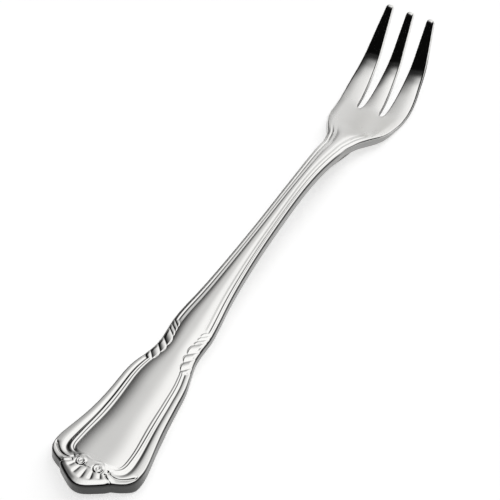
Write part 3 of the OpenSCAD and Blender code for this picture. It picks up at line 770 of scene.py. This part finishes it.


# Painted shade and satin of every point of the rings
def painted_shade_and_satin(f, top_d, under_d):
    at_end = 1 - ramp(f.angle, *END_ANGLES) * ramp(f.xe, *END_X)
    along = HANDLE_PAINTED_SHADE + (SHANK_PAINTED_SHADE - HANDLE_PAINTED_SHADE) * ramp(f.xe, *PAINTED_SHADE_RUN)
    wall = END_PAINTED_SHADE * at_end + (1 - at_end) * along
    head_share = OUTER_PAINTED_SHADES[0][0]
    outer = curve(OUTER_PAINTED_SHADES, np.maximum(f.xe / FORK_L, head_share))
    wall = np.where(f.xe > head_share * FORK_L, outer, wall)
    # A painted dark line along the top edge, a painted dark reflection in the rounding, broad
    # round the shell end and gone on the head
    edge = wall + (1 - wall) * ramp(EDGE_TURN, *WALL_TURN)
    line_from, line_to = [turn + more * at_end for turn, more in zip(LINE_TURN, LINE_MORE)]
    line = (1 - ramp(EDGE_TURN, line_from, line_to)) * (1 - ramp(f.xs, *LINE_FADE))
    top = np.ones_like(top_d)
    top[:, :N_EDGE] = edge * (1 - line) + LINE_PAINTED_SHADE * line
    under = np.full_like(under_d, UNDER_PAINTED_SHADE)
    under[:, :N_UNDER] = wall + (UNDER_PAINTED_SHADE - wall) * ramp(UNDER_TURN, *UNDER_TURN_RUN)
    # The walls of the slots take their painted shade at their upper and lower edges
    slot = curve(SLOT_PAINTED_SHADES, f.xs[:, 0] / FORK_L)
    is_open = f.open_slot[:, 0]
    for painted_shade, first, second in ((top, TOP_OUT, TOP_IN), (under, UNDER_OUT, UNDER_IN)):
        for at, beside in ((first, first - 1), (second, second + 1)):
            painted_shade[:, at] = np.where(is_open, slot, painted_shade[:, at])
            painted_shade[:, beside] = np.where(is_open, (1 + slot) / 2, painted_shade[:, beside])
    painted_shade = np.concatenate([top[:, ::-1]] + [wall] * len(WALL_SHARES) + [under], axis=1)
    on_panel = ramp(top_d, f.b - SATIN_EDGE, f.b + SATIN_EDGE) * (1 - f.on_head)
    on_bowl = f.on_head * (1 - ramp(f.xs, *SATIN_END))
    satin = np.ones_like(painted_shade)
    satin[:, :N_TOP] = (on_panel + on_bowl)[:, ::-1]
    return {"painted_shade": painted_shade, "satin": satin}


# In metres, points nearer than this are joined and shorter edges dissolved
JOIN, DISSOLVE = 1e-7, 1e-8
# Faces that meet at more than this keep a sharp edge
SHARP = math.radians(50)


def add_object(name, data):
    thing = bpy.data.objects.new(name, data)
    bpy.context.scene.collection.objects.link(thing)
    return thing


# Mirrors the half fork over its middle line, joins the halves and closes the mesh
def build_fork(name):
    f = Stations()
    top_d, top_h = top_rows(f)
    under_d, under_h = under_rows(f)
    rings = fork_rings(f, top_d, top_h, under_d, under_h)
    points = rings.reshape(-1, 3)
    n = len(points)
    verts = np.concatenate([points, points * (1, -1, 1)])
    middle = (verts[:, 0].min() + verts[:, 0].max()) / 2
    verts = (verts - (middle, 0, 0)) * MM
    half = fork_faces(f, rings.shape[1])
    mirrored = [tuple(v + n for v in face[::-1]) for face in half]
    mesh = bpy.data.meshes.new(name)
    mesh.from_pydata(verts.tolist(), [], half + mirrored)
    for layer_name, values in painted_shade_and_satin(f, top_d, under_d).items():
        layer = mesh.attributes.new(layer_name, "FLOAT", "POINT")
        layer.data.foreach_set("value", np.tile(values.ravel(), 2))
    bm = bmesh.new()
    bm.from_mesh(mesh)
    bmesh.ops.remove_doubles(bm, verts=bm.verts, dist=JOIN)
    bmesh.ops.dissolve_degenerate(bm, edges=bm.edges, dist=DISSOLVE)
    bmesh.ops.recalc_face_normals(bm, faces=bm.faces)
    bm.to_mesh(mesh)
    bm.free()
    mesh.shade_smooth()
    mesh.set_sharp_from_angle(angle=SHARP)
    return add_object(name, mesh)


# Sets a socket to a number, or links it to another socket
def feed(tree, socket, value):
    if isinstance(value, (int, float, tuple)):
        socket.default_value = value
    else:
        tree.links.new(value, socket)


def math_node(tree, kind, *values):
    node = tree.nodes.new("ShaderNodeMath")
    node.operation = kind
    for socket, value in zip(node.inputs, values):
        feed(tree, socket, value)
    return node.outputs[0]


def smooth_step(tree, value, start, end):
    node = tree.nodes.new("ShaderNodeMapRange")
    node.interpolation_type = "SMOOTHSTEP"
    for socket, setting in zip(node.inputs, (value, start, end, 0.0, 1.0)):
        feed(tree, socket, setting)
    return node.outputs[0]


def mix_colour(tree, share, first, second):
    node = tree.nodes.new("ShaderNodeMix")
    node.data_type = "RGBA"
    feed(tree, node.inputs["Factor"], share)
    feed(tree, node.inputs["A"], first)
    feed(tree, node.inputs["B"], second)
    return node.outputs["Result"]


def noise(tree, vector, scale, detail):
    node = tree.nodes.new("ShaderNodeTexNoise")
    feed(tree, node.inputs["Vector"], vector)
    feed(tree, node.inputs["Scale"], scale)
    feed(tree, node.inputs["Detail"], detail)
    return node.outputs["Fac"]


def new_material(name):
    material = bpy.data.materials.new(name)
    material.use_nodes = True
    tree = material.node_tree
    return material, tree, tree.nodes["Principled BSDF"]


BLACK, WHITE = (0.0, 0.0, 0.0, 1.0), (1.0, 1.0, 1.0, 1.0)
# Steel: its colour varies softly between these two
STEEL_DULL, STEEL_BRIGHT = (0.75, 0.745, 0.73, 1.0), (0.83, 0.825, 0.81, 1.0)
# Scale and detail of the noise in the colour and in the wear
CLOUD_NOISE, WEAR_NOISE = (90.0, 3.0), (160.0, 4.0)
# Roughness of the polished steel, and what wear and satin add to it
POLISHED_ROUGH, WEAR_ROUGH, SATIN_ROUGH = 0.08, 0.08, 0.17
# Fine polishing lines along the fork: scale on each axis, noise, strength and height in
# metres
LINE_SCALE, LINE_NOISE = (60, 1400, 1400), (1.0, 2.0)
LINE_STRENGTH, LINE_HEIGHT = 0.25, 0.00001


def steel_material():
    material, tree, shader = new_material("polished_steel")
    feed(tree, shader.inputs["Metallic"], 1.0)
    coords = tree.nodes.new("ShaderNodeTexCoord").outputs["Object"]
    layers = {}
    for layer_name in ("painted_shade", "satin"):
        node = tree.nodes.new("ShaderNodeAttribute")
        node.attribute_name = layer_name
        layers[layer_name] = node.outputs["Fac"]
    cloud = noise(tree, coords, *CLOUD_NOISE)
    steel = mix_colour(tree, cloud, STEEL_DULL, STEEL_BRIGHT)
    # Base colour darkened towards black by the painted shade attribute: painted shade and painted
    # dark reflections on the walls, slots and underside
    feed(tree, shader.inputs["Base Color"], mix_colour(tree, layers["painted_shade"], BLACK, steel))
    worn = math_node(tree, "MULTIPLY", noise(tree, coords, *WEAR_NOISE), WEAR_ROUGH)
    dull = math_node(tree, "MULTIPLY", layers["satin"], SATIN_ROUGH)
    rough = math_node(tree, "ADD", math_node(tree, "ADD", worn, dull), POLISHED_ROUGH)
    feed(tree, shader.inputs["Roughness"], rough)
    stretched = tree.nodes.new("ShaderNodeMapping")
    feed(tree, stretched.inputs["Vector"], coords)
    feed(tree, stretched.inputs["Scale"], LINE_SCALE)
    lines = tree.nodes.new("ShaderNodeBump")
    feed(tree, lines.inputs["Strength"], LINE_STRENGTH)
    feed(tree, lines.inputs["Distance"], LINE_HEIGHT)
    feed(tree, lines.inputs["Height"], noise(tree, stretched.outputs[0], *LINE_NOISE))
    feed(tree, shader.inputs["Normal"], lines.outputs[0])
    return material


# Floor: half its width in metres, its colour, and the light that it adds to its own for the
# camera and in the metal alike, as a share of white
FLOOR_HALF = 3.0
FLOOR_COLOUR = (0.95, 0.95, 0.95, 1.0)
FLOOR_LIFT = 0.5


def floor_piece():
    mesh = bpy.data.meshes.new("floor")
    corners = [(-1, -1), (1, -1), (1, 1), (-1, 1)]
    points = [(FLOOR_HALF * x, FLOOR_HALF * y, 0) for x, y in corners]
    mesh.from_pydata(points, [], [(0, 1, 2, 3)])
    material, tree, shader = new_material("floor")
    feed(tree, shader.inputs["Base Color"], FLOOR_COLOUR)
    feed(tree, shader.inputs["Roughness"], 1.0)
    feed(tree, shader.inputs["Specular IOR Level"], 0.0)
    rays = tree.nodes.new("ShaderNodeLightPath")
    seen = math_node(tree, "ADD", rays.outputs["Is Camera Ray"], rays.outputs["Is Glossy Ray"])
    seen = math_node(tree, "ADD", seen, rays.outputs["Is Transmission Ray"])
    feed(tree, shader.inputs["Emission Strength"], math_node(tree, "MULTIPLY", seen, FLOOR_LIFT))
    feed(tree, shader.inputs["Emission Color"], WHITE)
    mesh.materials.append(material)
    add_object("floor", mesh)


# Studio round the fork: a broad strip of light that runs from beyond the tines over the
# top, and fades to dark on both long sides and low behind the handle end. Each fade runs
# from one value to another of the direction's y, z or x
STRIP_LIGHT = 1.18
DARK_LIGHT = 0.003
FAR_FADE = (0.0, 0.9)
NEAR_FADE = (-0.78, -0.42)
BACK_FADE = (0.64, 0.9)
BACK_POWER = 3.0
BACK_GLOW = 0.022
BACK_EDGE = (0.58, 0.6)
FRONT_FADE = (-0.1, 0.25)


def studio_world():
    world = bpy.data.worlds.new("studio")
    world.use_nodes = True
    bpy.context.scene.world = world
    tree = world.node_tree
    direction = tree.nodes.new("ShaderNodeTexCoord")
    axis = tree.nodes.new("ShaderNodeSeparateXYZ")
    feed(tree, axis.inputs[0], direction.outputs["Generated"])
    x, y, z = axis.outputs
    far = math_node(tree, "SUBTRACT", 1.0, smooth_step(tree, y, *FAR_FADE))
    near = smooth_step(tree, y, *NEAR_FADE)
    back = math_node(tree, "POWER", smooth_step(tree, z, *BACK_FADE), BACK_POWER)
    back = math_node(tree, "ADD", back, BACK_GLOW)
    back = math_node(tree, "MULTIPLY", back, smooth_step(tree, z, *BACK_EDGE))
    arc = math_node(tree, "MAXIMUM", back, smooth_step(tree, x, *FRONT_FADE))
    strip = math_node(tree, "MULTIPLY", math_node(tree, "MULTIPLY", far, near), arc)
    total = math_node(tree, "ADD", math_node(tree, "MULTIPLY", strip, STRIP_LIGHT), DARK_LIGHT)
    feed(tree, tree.nodes["Background"].inputs["Strength"], total)
    feed(tree, tree.nodes["Background"].inputs["Color"], WHITE)


# Camera fitted to the photo: lens and sensor in millimetres, clipping and place in metres,
# turn in degrees
CAMERA_LENS = 160.7
CAMERA_SENSOR = 36
CAMERA_CLIP = (0.01, 20)
CAMERA_PLACE = (-0.28374, -0.16605, 0.36544)
CAMERA_TURN = (42.29, 0.52, -59.99)


def photo_camera():
    camera = bpy.data.cameras.new("camera")
    camera.lens = CAMERA_LENS
    camera.sensor_width = CAMERA_SENSOR
    camera.clip_start, camera.clip_end = CAMERA_CLIP
    seat = add_object("camera", camera)
    seat.location = CAMERA_PLACE
    seat.rotation_euler = Euler([math.radians(v) for v in CAMERA_TURN], "XYZ")
    bpy.context.scene.camera = seat


bpy.context.scene.view_settings.view_transform = "Standard"
fork = build_fork("oyster_fork")
fork.data.materials.append(steel_material())
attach(fork, "root")
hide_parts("fork")
floor_piece()
studio_world()
photo_camera()
